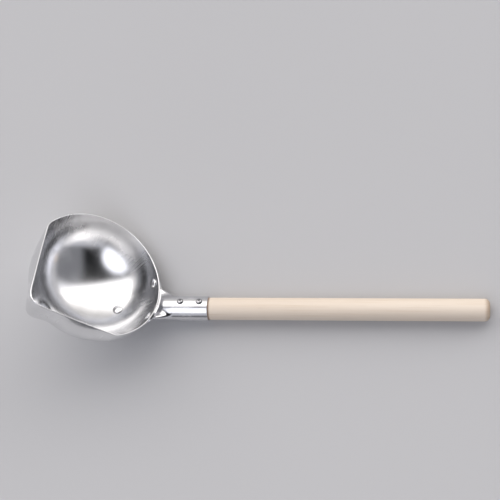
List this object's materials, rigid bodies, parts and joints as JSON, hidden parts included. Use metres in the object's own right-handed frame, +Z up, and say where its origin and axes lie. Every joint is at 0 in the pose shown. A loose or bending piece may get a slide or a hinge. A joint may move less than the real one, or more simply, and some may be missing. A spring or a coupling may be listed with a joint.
{
  "type": "pouring ladle",
  "caption": "Long-handled pouring ladle: a bright round metal bowl with a pouring spout in its side, a riveted metal socket and a round wooden handle.",
  "frame": {"origin": "middle of the bottom of the whole ladle's box, on the table that it lies on", "axes": "+X along the handle, from the bowl towards the butt; +Z up from the table; the bowl's opening leans towards +X and +Y"},
  "size_m": [0.5456, 0.1582, 0.147],
  "materials": {
    "bowl_aluminium": "bright, softly mirrored, with fine hairlines",
    "socket_metal": "polished, a little duller than the bowl",
    "handle_wood": "bare sanded pale wood, fine lengthwise grain",
    "rivet_aluminium": "bright",
    "screw_steel": "bright plated"
  },
  "bodies": {
    "root": {"bowl": "bowl_aluminium", "handle_socket": "socket_metal", "handle": "handle_wood", "socket_rivet_left": "rivet_aluminium", "socket_rivet_right": "rivet_aluminium", "socket_rivet_lower": "rivet_aluminium", "handle_screw_front": "screw_steel", "handle_screw_rear": "screw_steel"}
  },
  "joints": []
}
